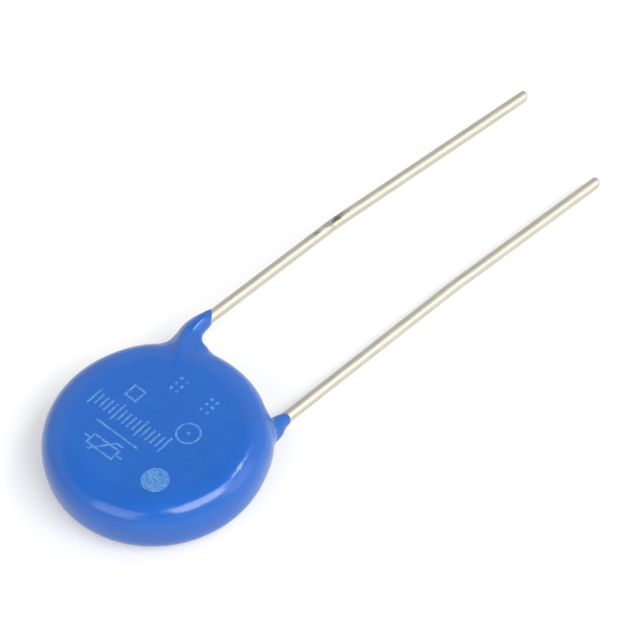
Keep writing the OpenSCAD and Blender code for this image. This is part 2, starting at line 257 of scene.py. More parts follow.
# Features in a metre, from their count in a millimetre: the skin's slow waves, orange peel and runs,
# the laser's speckle, and on the wires drawn lines, patches of thicker tin and a scuff's streaks, each
# across, along and across the wire
WAVES = 0.35 / MM
PEEL = 3.2 / MM
RUNS_ALONG, RUNS_ACROSS = 0.45 / MM, 3.5 / MM
SPECKLE = 9 / MM
DRAWN_LINES = (7 / MM, 0.6 / MM, 7 / MM)
TIN_PATCHES = (1.6 / MM, 0.7 / MM, 1.6 / MM)
SCUFF_STREAKS = (6 / MM, 2.2 / MM, 6 / MM)
# Height of each finish's fine relief
SKIN_RELIEF = 0.009 * MM
MARK_RELIEF = 0.004 * MM
WIRE_RELIEF = 0.014 * MM
EPOXY_IOR = 1.53
# How much lighter and darker the pigment gets, as a share
PIGMENT_SPREAD = 0.1


def add_node(tree, kind, settings=None, inputs=None):
    """Adds a node, sets its properties and its inputs, and links an input that is given a socket."""
    node = tree.nodes.new(kind)
    for key, value in (settings or {}).items():
        setattr(node, key, value)
    for key, value in (inputs or {}).items():
        if isinstance(value, bpy.types.NodeSocket):
            tree.links.new(value, node.inputs[key])
        else:
            node.inputs[key].default_value = value
    return node


def empty_tree(owner):
    """The node tree of a material or a world, emptied."""
    owner.use_nodes = True
    owner.node_tree.nodes.clear()
    return owner.node_tree


def new_material(name):
    """A new material, its node tree and its Object coordinates."""
    material = bpy.data.materials.new(name)
    tree = empty_tree(material)
    place = add_node(tree, "ShaderNodeTexCoord").outputs["Object"]
    return material, tree, place


def finish_material(tree, shader, height, relief):
    """Links the shader to the output, with a bump whose depth is the relief times the height."""
    bump = add_node(tree, "ShaderNodeBump", inputs={"Height": height, "Distance": relief})
    tree.links.new(bump.outputs[0], shader.inputs["Normal"])
    add_node(tree, "ShaderNodeOutputMaterial", inputs={"Surface": shader.outputs[0]})


def epoxy_material(hex_value):
    """Liquid epoxy, dipped and cured: an even pigment under a glossy skin with slow waves of about
    3 mm, an orange peel of about 0.3 mm, and faint runs round the rim, made while the disc was
    turned, which follow the distance from its axis and the height. They break up the edges of its
    reflections. The waves are twice as high as the peel, and the runs nine tenths."""
    material, tree, place = new_material("Dipped epoxy, cured gloss")
    slow = add_node(tree, "ShaderNodeTexNoise", inputs={"Vector": place, "Scale": WAVES, "Detail": 2.0})
    peel = add_node(tree, "ShaderNodeTexNoise", inputs={"Vector": place, "Scale": PEEL, "Detail": 3.0})
    pigment = linear(hex_value)[:3]
    shade = add_node(tree, "ShaderNodeMixRGB", inputs={
        "Fac": slow.outputs["Fac"],
        "Color1": (*[v * (1 - PIGMENT_SPREAD) for v in pigment], 1),
        "Color2": (*[min(v * (1 + PIGMENT_SPREAD), 1) for v in pigment], 1)})
    rough = add_node(tree, "ShaderNodeMapRange", inputs={
        "Value": peel.outputs["Fac"], "From Min": 0.3, "From Max": 0.7, "To Min": 0.14, "To Max": 0.2})
    shader = add_node(tree, "ShaderNodeBsdfPrincipled", inputs={
        "Base Color": shade.outputs[0], "Roughness": rough.outputs[0], "IOR": EPOXY_IOR})
    flat = add_node(tree, "ShaderNodeVectorMath", {"operation": "MULTIPLY"}, {0: place, 1: (1, 1, 0)})
    radius = add_node(tree, "ShaderNodeVectorMath", {"operation": "LENGTH"}, {0: flat.outputs[0]})
    rings = add_node(tree, "ShaderNodeMath", {"operation": "MULTIPLY"}, {
        0: radius.outputs["Value"], 1: RUNS_ACROSS})
    drawn_out = add_node(tree, "ShaderNodeMapping", inputs={
        "Vector": place, "Scale": (RUNS_ALONG, RUNS_ALONG, RUNS_ACROSS)})
    runs = add_node(tree, "ShaderNodeTexNoise", {"noise_dimensions": "4D"}, {
        "Vector": drawn_out.outputs[0], "W": rings.outputs[0], "Scale": 1.0, "Detail": 2.0})
    fine = add_node(tree, "ShaderNodeMath", {"operation": "MULTIPLY_ADD"}, {
        0: runs.outputs["Fac"], 1: 0.9, 2: peel.outputs["Fac"]})
    height = add_node(tree, "ShaderNodeMath", {"operation": "MULTIPLY_ADD"}, {
        0: slow.outputs["Fac"], 1: 2.0, 2: fine.outputs[0]})
    finish_material(tree, shader, height.outputs[0], SKIN_RELIEF)
    return material


def mark_material(hex_value, skin_value):
    """Epoxy that a laser bleached and roughened: a light, dull blue, speckled where the beam's spots
    of about 0.06 mm left the pigment. The speckle is drawn a little coarser so that it shows."""
    material, tree, place = new_material("Laser-marked epoxy, matt")
    speckle = add_node(tree, "ShaderNodeTexNoise", inputs={
        "Vector": place, "Scale": SPECKLE, "Detail": 2.0})
    cover = add_node(tree, "ShaderNodeMapRange", inputs={
        "Value": speckle.outputs["Fac"], "From Min": 0.4, "From Max": 0.56, "To Min": 0.15})
    shade = add_node(tree, "ShaderNodeMixRGB", inputs={
        "Fac": cover.outputs[0], "Color1": linear(skin_value), "Color2": linear(hex_value)})
    rough = add_node(tree, "ShaderNodeMapRange", inputs={
        "Value": cover.outputs[0], "To Min": 0.3, "To Max": 0.6})
    shader = add_node(tree, "ShaderNodeBsdfPrincipled", inputs={
        "Base Color": shade.outputs[0], "Roughness": rough.outputs[0], "IOR": EPOXY_IOR})
    finish_material(tree, shader, speckle.outputs["Fac"], MARK_RELIEF)
    return material


def wire_material(name, leads, cut_at, slope):
    """Tinned copper wire, drawn and hot-dipped: a warm silvery film with faint lines along the wire
    and slightly duller patches where the tin lies thicker. The lines are 0.14 mm apart, coarser than
    real ones so that they show. Where pliers gripped the front wire it is scuffed dark, in streaks a
    few tenths of a millimetre long: a scuff fades with the distance from its middle, counted in its
    half lengths, less three times a streaky noise. The sheared end, past a plane at this place along
    the normal of its slope, is bare, dull copper smeared with tin."""
    material, tree, place = new_material(name)
    noise = {}
    for pattern, counts, detail in (
            ("lines", DRAWN_LINES, 3.0), ("patches", TIN_PATCHES, 4.0), ("streaks", SCUFF_STREAKS, 3.0)):
        drawn_out = add_node(tree, "ShaderNodeMapping", inputs={"Vector": place, "Scale": counts})
        noise[pattern] = add_node(tree, "ShaderNodeTexNoise", inputs={
            "Vector": drawn_out.outputs[0], "Scale": 1.0, "Detail": detail}).outputs["Fac"]
    scuffs = 0.0
    for middle, half, depth in SCUFFS:
        near = add_node(tree, "ShaderNodeVectorMath", {"operation": "SUBTRACT"}, {
            0: place, 1: [v * MM for v in middle]})
        spread = add_node(tree, "ShaderNodeVectorMath", {"operation": "DIVIDE"}, {
            0: near.outputs[0], 1: [v * MM for v in half]})
        far = add_node(tree, "ShaderNodeVectorMath", {"operation": "LENGTH"}, {0: spread.outputs[0]})
        torn = add_node(tree, "ShaderNodeMath", {"operation": "MULTIPLY_ADD"}, {
            0: noise["streaks"], 1: -3.0, 2: far.outputs["Value"]})
        inside = add_node(tree, "ShaderNodeMapRange", inputs={
            "Value": torn.outputs[0], "From Min": -0.3, "From Max": -1.3, "To Max": depth})
        scuffs = add_node(tree, "ShaderNodeMath", {"operation": "MAXIMUM"}, {
            0: scuffs, 1: inside.outputs[0]}).outputs[0]
    ahead = add_node(tree, "ShaderNodeVectorMath", {"operation": "DOT_PRODUCT"}, {
        0: place, 1: (0, math.cos(slope), -math.sin(slope))})
    bare = add_node(tree, "ShaderNodeMapRange", inputs={
        "Value": ahead.outputs["Value"], "From Min": cut_at - 0.02 * MM, "From Max": cut_at + 0.01 * MM})
    tin = add_node(tree, "ShaderNodeMixRGB", inputs={
        "Fac": noise["patches"], "Color1": linear(leads.thick_tin), "Color2": linear(leads.tin)})
    worn = add_node(tree, "ShaderNodeMixRGB", inputs={
        "Fac": scuffs, "Color1": tin.outputs[0], "Color2": linear(leads.scuff)})
    shade = add_node(tree, "ShaderNodeMixRGB", inputs={
        "Fac": bare.outputs[0], "Color1": worn.outputs[0], "Color2": linear(leads.copper)})
    dull = add_node(tree, "ShaderNodeMapRange", inputs={
        "Value": noise["patches"], "From Min": 0.3, "From Max": 0.7, "To Min": 0.56, "To Max": 0.64})
    rough = add_node(tree, "ShaderNodeMath", {"operation": "MULTIPLY_ADD"}, {
        0: scuffs, 1: 0.1, 2: dull.outputs[0]})
    shader = add_node(tree, "ShaderNodeBsdfPrincipled", inputs={
        "Base Color": shade.outputs[0], "Metallic": 1.0, "Roughness": rough.outputs[0]})
    finish_material(tree, shader, noise["lines"], WIRE_RELIEF)
    return material


def grain_material(name, dark, light, grains, roughness, metallic, relief):
    """A finish whose grain, with so many grains in a metre, varies between two colours."""
    material, tree, place = new_material(name)
    grain = add_node(tree, "ShaderNodeTexNoise", inputs={
        "Vector": place, "Scale": grains, "Detail": 5.0})
    tint = add_node(tree, "ShaderNodeMixRGB", inputs={
        "Fac": grain.outputs["Fac"], "Color1": linear(dark), "Color2": linear(light)})
    shader = add_node(tree, "ShaderNodeBsdfPrincipled", inputs={
        "Base Color": tint.outputs[0], "Metallic": metallic, "Roughness": roughness})
    finish_material(tree, shader, grain.outputs["Fac"], relief)
    return material


# The dipped skin, where c holds the coating's settings, p points from the disc's middle, and a value
# is a length that is below zero inside

LEAD_KEYS = ("x", "corner", "bend", "kink_at", "kink", "end", "cut")
SLEEVE_KEYS = (
    "reach", "slant", "ridge", "ridge_out", "web", "root_outer", "root_inner", "root_from", "root_to")
WRINKLE_LENGTHS = (0.47 * MM, 0.31 * MM)
# Rounding between ridge and web where a sleeve ends
TIP_BLEND = 0.02 * MM
# Columns round the skin, rings over each half of the shoulder and rings on each face
SKIN_COLUMNS, SHOULDER_RINGS, FACE_RINGS = 520, 64, 26
# Powers that set the rings closer at the rim and at the edges of the faces
RIM_CROWDING, FACE_CROWDING = 1.15, 1.4
# How much closer the columns are beside a lead, and how far to each side
LEAD_CROWDING, CROWD_WIDTH = 7, math.radians(9)


def heading_of(own):
    """Direction of one lead's slanted inner wire, from +X towards +Y: that of its corner."""
    return math.atan2(own.corner, own.x)


def straight_length(own):
    """Length of a slanted inner wire from the middle of the disc to the start of its bend: the way to
    its corner less the bend's radius times the tangent of half the turn."""
    turn = math.pi / 2 - heading_of(own)
    return math.hypot(own.x, own.corner) - own.bend * math.tan(abs(turn) / 2)


def run_height(heading, c):
    """How much fuller the rim is in a direction: a bell about each place where the coating ran."""
    return (c.front_run * np.exp(-((heading - c.front_run_at) / c.run_width) ** 2)
            + c.rear_run * np.exp(-((heading - c.rear_run_at) / c.run_width) ** 2))


def disc_value(p, c):
    """Below zero inside the rounded disc. Beyond the flat part the distance across and the
    height are each raised to a power, summed and rooted, which draws a rounded, squarish edge."""
    rim = c.diameter / 2 + run_height(np.arctan2(p[..., 1], p[..., 0]), c)
    across = np.maximum(np.hypot(p[..., 0], p[..., 1]) - rim + c.shoulder, 0) / c.shoulder
    up = np.abs(p[..., 2]) / (c.height / 2)
    return ((across ** c.power + up ** c.power) ** (1 / c.power) - 1) * c.height / 2


def blended(a, b, reach):
    """The lower of two values, rounded off by a parabola where they differ by less than the reach."""
    h = np.maximum(reach - np.abs(a - b), 0) / reach
    return np.minimum(a, b) - h * h * reach / 4


def wrinkles(along, c):
    """Small unevenness of the ridges where the coating draped over the wires: the mean of two sines
    along them, the second a radian ahead."""
    first, second = (along * 2 * np.pi / wave for wave in WRINKLE_LENGTHS)
    return c.wrinkle * (np.sin(first) + np.sin(second + 1)) / 2


def sleeve_value(p, c, leads, lead):
    """Below zero inside the sleeve about one wire, while that wire is still straight. The sleeve is a
    ridge, the distance from the wire less a height with its flanks drawn in, blended with a web, an
    oval a little nearer the middle plane. Both close in a parabola on the wire at the tip, whose end
    is slanted, and its corners fall back with the fourth power of their distance from the middle."""
    outer = LEADS[lead]
    heading = heading_of(one_side(leads, lead, LEAD_KEYS))
    own = one_side(c, lead, SLEEVE_KEYS)
    along = p[..., 0] * math.cos(heading) + p[..., 1] * math.sin(heading)
    side = p[..., 1] * math.cos(heading) - p[..., 0] * math.sin(heading)
    up = outer * p[..., 2] - leads.offset
    fallen = c.tip_round * np.minimum(np.abs(side) / c.tip_width, 1) ** 4
    left = own.reach + own.slant * outer * side - fallen - along
    full = 1 - (1 - np.clip(left / c.nose, 0, 1)) ** 2
    rise = ease((along - c.ridge_from) / (c.ridge_to - c.ridge_from))
    change = ease((along - c.ridge_change_from) / (c.ridge_change_to - c.ridge_change_from))
    ridge = own.ridge + (own.ridge_out - own.ridge) * change
    height = c.tip_r + (ridge + wrinkles(along, c) * (1 - change) - c.tip_r) * full
    narrow = c.ridge_pinch * full * (np.hypot(side, c.ridge_top) - c.ridge_top)
    crest = np.hypot(side, up) + narrow - c.ridge_start - (height - c.ridge_start) * rise
    spread = ease((along - own.root_from) / (own.root_to - own.root_from))
    half_w = c.tip_r + (own.web - c.tip_r) * full + (own.root_outer + own.root_inner) / 2 * spread
    half_h = c.tip_r + (c.web_thick - c.tip_r) * full
    shift = outer * (own.root_inner - own.root_outer) / 2 * spread
    oval = np.hypot((side + shift) / half_w, (up + c.web_drop * full) / half_h)
    under = (oval - 1) * half_h + c.web_sink * (1 - rise)
    both = blended(crest, under, TIP_BLEND + c.web_blend * full)
    return np.maximum(np.maximum(both, -left), c.ridge_from - along)


def skin_value(p, c, leads):
    """The disc and both sleeves, which flow into each other where their values are close. The reach of
    that rounding eases from the one on the faces to the widest with the distance from the axis."""
    sleeves = np.minimum(sleeve_value(p, c, leads, "front"), sleeve_value(p, c, leads, "rear"))
    out = ease((np.hypot(p[..., 0], p[..., 1]) - c.blend_from) / (c.blend_to - c.blend_from))
    return blended(disc_value(p, c), sleeves, c.face_blend + (c.blend - c.face_blend) * out)


def reach_surface(rays, c, leads, low=0.6, high=1.8, steps=26):
    """Where each ray from the middle meets the skin, by halving the stretch that holds it. Low and
    high are the ends of the first stretch, as shares of the ray's length."""
    low = np.full(rays.shape[:-1], low)
    high = np.full(rays.shape[:-1], high)
    for _ in range(steps):
        middle = (low + high) / 2
        outside = skin_value(rays * middle[..., None], c, leads) > 0
        high = np.where(outside, middle, high)
        low = np.where(outside, low, middle)
    return rays * low[..., None]


def follow(p, heading, straight, radius):
    """Carries points past the end of the straight part round the bend of their wire to +Y: first
    along the arc, and past it along the line that leaves it."""
    turn = math.pi / 2 - heading
    along = p[..., 0] * math.cos(heading) + p[..., 1] * math.sin(heading)
    side = p[..., 1] * math.cos(heading) - p[..., 0] * math.sin(heading)
    hand = math.copysign(1, turn)
    past = np.maximum(along - straight, 0)
    turned = np.minimum(past / radius, abs(turn))
    rest = past - turned * radius
    way = heading + hand * turned
    centre = (straight * math.cos(heading) - hand * radius * math.sin(heading),
              straight * math.sin(heading) + hand * radius * math.cos(heading))
    bent = np.stack([
        centre[0] + rest * np.cos(way) - (side - hand * radius) * np.sin(way),
        centre[1] + rest * np.sin(way) + (side - hand * radius) * np.cos(way),
        p[..., 2]], -1)
    return np.where((along > straight)[..., None], bent, p)


def bend_skin(p, leads):
    """Bends each half of the skin with the wire on its side."""
    halves = []
    for lead in LEADS:
        own = one_side(leads, lead, LEAD_KEYS)
        halves.append(follow(p, heading_of(own), straight_length(own), own.bend))
    return np.where(p[..., :1] < 0, halves[0], halves[1])


def crowded(total, crowds, samples=20001):
    """Angles round a full turn, packed closer about the crowds: evenly spaced steps of the running
    sum of a density that is one plus a bell about each crowd."""
    fine = np.linspace(0, 2 * np.pi, samples)
    density = np.ones_like(fine)
    for crowd in crowds:
        off = (fine - crowd + np.pi) % (2 * np.pi) - np.pi
        density += LEAD_CROWDING * np.exp(-(off / CROWD_WIDTH) ** 2)
    running = np.concatenate([[0], np.cumsum((density[1:] + density[:-1]) / 2)])
    return np.interp(np.arange(total) / total * running[-1], running, fine)


def skin_rings(c, leads):
    """The whole skin as rings from the rear face to the front face. Rays from the middle go through
    the rounded disc, whose shoulder is the cosine and sine of an angle, each raised to two over its
    power, and are followed to the skin, which is then bent with the wires and set on z = 0."""
    turns = crowded(SKIN_COLUMNS, [heading_of(one_side(leads, lead, LEAD_KEYS)) for lead in LEADS])
    lift = np.linspace(0, 1, SHOULDER_RINGS) ** RIM_CROWDING * (np.pi / 2)
    shoulder = np.stack([
        c.diameter / 2 - c.shoulder + c.shoulder * np.cos(lift) ** (2 / c.power),
        c.height / 2 * np.sin(lift) ** (2 / c.power)], -1)
    inward = np.linspace(0, 1, FACE_RINGS + 1)[1:-1] ** FACE_CROWDING
    flat_r = shoulder[-1, 0] * (1 - inward)
    face = np.stack([flat_r, np.full(len(flat_r), c.height / 2)], -1)
    upper = np.concatenate([shoulder, face])
    profile = np.concatenate([upper[:0:-1] * (1, -1), upper])
    rays = np.stack([
        profile[:, None, 0] * np.cos(turns), profile[:, None, 0] * np.sin(turns),
        np.repeat(profile[:, 1:], SKIN_COLUMNS, 1)], -1)
    return bend_skin(reach_surface(rays, c, leads), leads) + (0, 0, c.height / 2)


class VARISTOR_OT_coating(Operator):
    """Adds the dipped epoxy skin with its two drawn-out sleeves"""
    bl_idname = "varistor.coating"
    bl_label = "Coating"

    def execute(self, context):
        c = context.scene.varistor_coating
        points, faces = capped_tube(skin_rings(c, context.scene.varistor_leads))
        skin = mesh_object("dipped_skin", points, faces, epoxy_material(c.colour))
        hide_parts("epoxy_coating")
        return {"FINISHED"}


# Plain generic marks in mm, u along a line of marks and v up. Here m holds the marks' settings.

SYMBOL_AT = (1.3, 3.5)
SYMBOL_SIZE = (2.2, 0.8)
# Lines out of the symbol's box, and how far its slanted line passes the box and leans over it
SYMBOL_LEAD, SYMBOL_FOOT, SYMBOL_TIP = 0.55, 0.35, 0.65
BAR = ((-0.55, 2.2), (3.18, 2.16))
TICKS_FROM, TICKS_TO, TICKS_V = -1.7, 4.6, 0.86
RING_AT, RING_R = (-2.25, -0.85), 0.8
SQUARE_AT, SQUARE_HALF = (2.68, -1.0), 0.47
DOT_GROUPS = ((-1.78, -3.37), (0.93, -3.38))
DOT_STEP, DOT_R = (0.25, 0.5), 0.13
SPOT_AT, SPOT_R = (-3.15, 3.26), 0.95
# Radii of the rings on a round mark, as shares of its own
SPOT_RINGS = (0.02, 0.5, 1)
# How much higher each line's top is than the last, so that tops that cross stay apart
LINE_LIFT = 0.0003 * MM


def symbol_lines():
    """The plain circuit sign of a voltage-dependent resistor: a box on a line, crossed by a slanted
    line with a short foot."""
    u, v = SYMBOL_AT
    w, h = SYMBOL_SIZE[0] / 2, SYMBOL_SIZE[1] / 2
    low, high = v - h - SYMBOL_FOOT, v + h + SYMBOL_FOOT
    return [
        ([(u - w, v - h), (u + w, v - h), (u + w, v + h), (u - w, v + h)], True),
        ([(u - w - SYMBOL_LEAD, v), (u - w, v)], False),
        ([(u + w, v), (u + w + SYMBOL_LEAD, v)], False),
        ([(u - w, low), (u - w / 2, low), (u + w * SYMBOL_TIP, high)], False)]


def tick_lines(count=16, long_each=5, short=0.5, long=0.75):
    """A graduated row: evenly spaced upright ticks, every fifth one longer."""
    half = [long if i % long_each == 0 else short for i in range(count)]
    return [([(u, TICKS_V - h), (u, TICKS_V + h)], False)
            for u, h in zip(np.linspace(TICKS_FROM, TICKS_TO, count), half)]


def circle_points(centre, radius, count):
    """Points evenly spaced round a circle."""
    turn = np.arange(count) / count * 2 * np.pi
    return np.stack([centre[0] + radius * np.cos(turn), centre[1] + radius * np.sin(turn)], -1)


def face_height(x, y, c):
    """Height of the front face: full on the flat part, and on the shoulder half of it plus the other
    half times the root of one less the distance across, both to the shoulder's power."""
    across = np.clip((np.hypot(x, y) - c.diameter / 2 + c.shoulder) / c.shoulder, 0, 1)
    return c.height / 2 + c.height / 2 * (1 - across ** c.power) ** (1 / c.power)


def on_face(uv, m, c, lift):
    """Points of the marks, in mm, turned about the disc's axis into places on the front face and
    raised by the lift."""
    u, v = uv[..., 0] * MM, uv[..., 1] * MM
    x = u * math.cos(m.turn) - v * math.sin(m.turn)
    y = u * math.sin(m.turn) + v * math.cos(m.turn)
    return np.stack([x, y, face_height(x, y, c) + lift], -1)


def stroke(line, closed, m, c, lift):
    """A line of marks as a thin closed ribbon: each point moves half a stroke to both sides, square to
    the line and lengthened at corners by one over the cosine of half the turn."""
    points = np.array(line, float)
    ahead = np.roll(points, -1, 0) - points
    ahead /= np.linalg.norm(ahead, axis=1)[:, None]
    if not closed:
        ahead[-1] = ahead[-2]
    before = np.roll(ahead, 1, 0)
    if not closed:
        before[0] = ahead[0]
    both = ahead + before
    normals = np.stack([-both[:, 1], both[:, 0]], -1)
    offset = normals * (m.stroke / MM / (1 + (ahead * before).sum(1)))[:, None] / 2
    left, right = points + offset, points - offset
    rings = np.stack([
        on_face(right, m, c, m.proud + lift), on_face(right, m, c, -m.sunk),
        on_face(left, m, c, -m.sunk), on_face(left, m, c, m.proud + lift)], 1)
    rows, corners = rings.shape[:2]
    if closed:
        faces = grid_faces(rows + 1, corners) % (rows * corners)
    else:
        start = np.arange(corners)
        ends = [start[::-1], start + (rows - 1) * corners]
        faces = np.concatenate([grid_faces(rows, corners), ends])
    return rings.reshape(-1, 3), faces.tolist()


def spot(centre, radius, m, c, count):
    """A filled round mark as a thin closed plate, in rings from the middle of its underside round
    its edge to the middle of its top."""
    shares = SPOT_RINGS + SPOT_RINGS[::-1]
    lifts = np.repeat([-m.sunk, m.proud], len(SPOT_RINGS))
    return capped_tube(np.stack([
        on_face(circle_points(centre, radius * share, count), m, c, lift)
        for share, lift in zip(shares, lifts)]))


def joined(parts):
    """One array of points and one list of faces from several."""
    points, faces, start = [], [], 0
    for part_points, part_faces in parts:
        points.append(part_points)
        faces += [[start + i for i in face] for face in part_faces]
        start += len(part_points)
    return np.concatenate(points), faces


class VARISTOR_OT_marks(Operator):
    """Adds plain generic laser marks to the front face"""
    bl_idname = "varistor.marks"
    bl_label = "Marks"

    def execute(self, context):
        m = context.scene.varistor_marks
        c = context.scene.varistor_coating
        square = [(SQUARE_AT[0] + a * SQUARE_HALF, SQUARE_AT[1] + b * SQUARE_HALF) for a, b in SQUARE]
        lines = symbol_lines() + tick_lines() + [
            (BAR, False), (square, True), (circle_points(RING_AT, RING_R, count=48), True)]
        dots = [(u + a * DOT_STEP[0], v + b * DOT_STEP[1])
                for u, v in DOT_GROUPS for a in (-1, 1) for b in (-1, 0, 1)]
        parts = [stroke(line, closed, m, c, k * LINE_LIFT) for k, (line, closed) in enumerate(lines)]
        parts += [spot(at, DOT_R, m, c, count=16) for at in dots + [RING_AT]]
        parts.append(spot(SPOT_AT, SPOT_R, m, c, count=64))
        points, faces = joined(parts)
        marks = mesh_object("laser_marks", points, faces, mark_material(m.colour, c.colour))
        marks.data.shade_flat()
        return {"FINISHED"}


# Leads

# Columns round a wire, rings round the edge of its sheared end, the radii over which it leans to the
# slope of the cut, and the radius of the end's last ring as a share
WIRE_COLUMNS, EDGE_RINGS, LEAN_RADII, LAST_RING = 48, 5, 4, 0.6


def wire_path(own, kink_radius, tail, step=0.1 * MM):
    """The centre line of one lead from its inner end, as arrays of place, heading and length: the
    heading turns evenly along each arc, and the place is the running sum of steps along it."""
    heading = heading_of(own)
    turn = abs(math.pi / 2 - heading)
    after_bend = own.corner + own.bend * math.tan(turn / 2)
    half_kink = kink_radius * math.tan(own.kink / 2)
    last = (own.end - own.kink_at) / math.cos(own.kink) - half_kink
    stops = np.cumsum([
        0, tail + straight_length(own), turn * own.bend, own.kink_at - half_kink - after_bend,
        own.kink * kink_radius, last])
    past_kink = math.pi / 2 - own.kink
    headings = [heading, heading, math.pi / 2, math.pi / 2, past_kink, past_kink]
    s = np.concatenate([
        *(np.linspace(a, b, max(int((b - a) / step), 2), endpoint=False)
          for a, b in zip(stops[:-1], stops[1:])), [stops[-1]]])
    way = np.interp(s, stops, headings)
    middle_way = (way[1:] + way[:-1]) / 2
    steps = np.diff(s)[:, None] * np.stack([np.cos(middle_way), np.sin(middle_way)], -1)
    start = np.array([-tail * math.cos(heading), -tail * math.sin(heading)])
    return start + np.concatenate([[[0, 0]], np.cumsum(steps, 0)]), way, s


def wire_rings(path, way, s, z, radius, cut, edge):
    """Rings of wire square to its path. Near the sheared end each ring leans over to the slope of the
    cut, by its height times the tangent, and the last rings draw in round a quarter circle."""
    around = np.arange(WIRE_COLUMNS) / WIRE_COLUMNS * 2 * np.pi
    turn = np.linspace(0, np.pi / 2, EDGE_RINGS + 1)[1:]
    past = np.append(edge * np.sin(turn), edge)
    drawn_in = np.append(radius - edge * (1 - np.cos(turn)), radius * LAST_RING)
    to_cut = ease(1 - (s[-1] - s) / (LEAN_RADII * radius))
    way = np.append(way, np.full(len(past), way[-1]))
    ahead = np.stack([np.cos(way), np.sin(way)], -1)
    side = np.stack([np.sin(way), -np.cos(way)], -1)
    path = np.concatenate([path, path[-1] + ahead[-1] * past[:, None]])
    wide = np.append(np.full(len(s), radius), drawn_in)
    lean = np.append(to_cut, np.ones(len(past))) * math.tan(cut)
    out, up = wide[:, None] * np.cos(around), -wide[:, None] * np.sin(around)
    forward = lean[:, None] * up
    flat = path[:, None] + side[:, None] * out[..., None] + ahead[:, None] * forward[..., None]
    return np.concatenate([flat, (z + up)[..., None]], -1)


def scuffed(points):
    """Wire points with a shallow dent under each scuff: they sink by its depth times the square of
    one less the squared distance from its middle, counted in its half lengths."""
    points = points.copy()
    for middle, half, _ in SCUFFS:
        offset = (points - np.array(middle) * MM) / (np.array(half) * MM)
        near = np.clip(1 - (offset ** 2).sum(-1), 0, 1) ** 2
        points[:, 2] -= SCUFF_DEPTH * near
    return points


class VARISTOR_OT_leads(Operator):
    """Adds the two tinned wires with their bends and sheared ends"""
    bl_idname = "varistor.leads"
    bl_label = "Leads"

    def execute(self, context):
        leads = context.scene.varistor_leads
        middle = context.scene.varistor_coating.height / 2
        for lead, outer in LEADS.items():
            node = lead + "_lead"
            own = one_side(leads, lead, LEAD_KEYS)
            z = middle + outer * leads.offset
            path, way, s = wire_path(own, leads.kink_radius, leads.tail)
            rings = wire_rings(path, way, s, z, leads.wire / 2, own.cut, leads.cut_edge)
            points, faces = capped_tube(rings)
            cut_at = path[-1][1] * math.cos(own.cut) - z * math.sin(own.cut)
            material = wire_material("Hot-tinned copper wire, " + lead, leads, cut_at, own.cut)
            wire = mesh_object(node + "_wire", scuffed(points), faces, material)
            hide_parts(node)
        return {"FINISHED"}


# Pieces inside the coating, which keep their CAD shape


class VARISTOR_OT_core(Operator):
    """Gives the ceramic disc, its electrodes and the solder their finishes"""
    bl_idname = "varistor.core"
    bl_label = "Core"

    def execute(self, context):
        # Pressed and fired powder: dark and matt, its grains drawn at 0.1 mm so that they show
        ceramic = grain_material(
            "Sintered zinc oxide ceramic", "#2B2A28", "#4A4844",
            grains=12 / MM, roughness=0.75, metallic=0.0, relief=0.01 * MM)
        # Printed paste, fired on: satin, pale and slightly grainy
        silver = grain_material(
            "Fired silver film", "#BDB9AE", "#DAD7CE",
            grains=5 / MM, roughness=0.4, metallic=1.0, relief=0.005 * MM)
        # Melted and set tin: greyer and smoother, with ripples of about half a millimetre
        solder = grain_material(
            "Tin solder, reflowed", "#8F9090", "#B9BABA",
            grains=2 / MM, roughness=0.35, metallic=1.0, relief=0.02 * MM)
        finishes = {
            "zinc_oxide_disc": ceramic, "front_electrode": silver, "rear_electrode": silver,
            "front_solder_joint": solder, "rear_solder_joint": solder}
        for node, material in finishes.items():
            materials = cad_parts[node].data.materials
            materials.clear()
            materials.append(material)
        return {"FINISHED"}


# Studio

# Azimuth from the camera to the right and elevation in degrees, size in metres, and radiance
SOFTBOXES = {
    "softbox_right": (40, 51, (0.34, 0.24), 6.6),
    "softbox_strip": (86, 52, (0.3, 0.07), 2.6),
    "softbox_small": (102, 51.5, (0.1, 0.05), 10.0),
    "softbox_left": (-42, 37, (0.3, 0.3), 2.0),
    "softbox_side": (76, 26, (0.3, 0.34), 1.0)}
SOFTBOX_DISTANCE = 0.5
FLOOR_HALF = 2.0


def paper_material(tone, glow):
    """White paper, matt: a diffuse surface that also gives off light to camera, glossy and
    transmission rays, so that it looks white without lighting the object more."""
    material = bpy.data.materials.new("White paper sweep")
    tree = empty_tree(material)
    path = add_node(tree, "ShaderNodeLightPath")
    direct = add_node(tree, "ShaderNodeMath", {"operation": "MAXIMUM"}, {
        0: path.outputs["Is Camera Ray"], 1: path.outputs["Is Glossy Ray"]})
    seen = add_node(tree, "ShaderNodeMath", {"operation": "MAXIMUM"}, {
        0: direct.outputs[0], 1: path.outputs["Is Transmission Ray"]})
    amount = add_node(tree, "ShaderNodeMath", {"operation": "MULTIPLY"}, {0: seen.outputs[0], 1: glow})
    diffuse = add_node(tree, "ShaderNodeBsdfDiffuse", inputs={"Color": (tone, tone, tone, 1)})
    emission = add_node(tree, "ShaderNodeEmission", inputs={
        "Color": (1, 1, 1, 1), "Strength": amount.outputs[0]})
    both = add_node(tree, "ShaderNodeAddShader", inputs={0: diffuse.outputs[0], 1: emission.outputs[0]})
    add_node(tree, "ShaderNodeOutputMaterial", inputs={"Surface": both.outputs[0]})
    return material


def toward(studio, azimuth, elevation):
    """The direction of a place round the object, its azimuth counted from the camera to the right:
    sine and cosine of its heading times the cosine of its elevation, whose sine is its height."""
    heading = math.pi + studio.azimuth - azimuth
    flat = Vector((math.sin(heading), math.cos(heading), 0))
    return flat * math.cos(elevation) + Vector((0, 0, math.sin(elevation)))


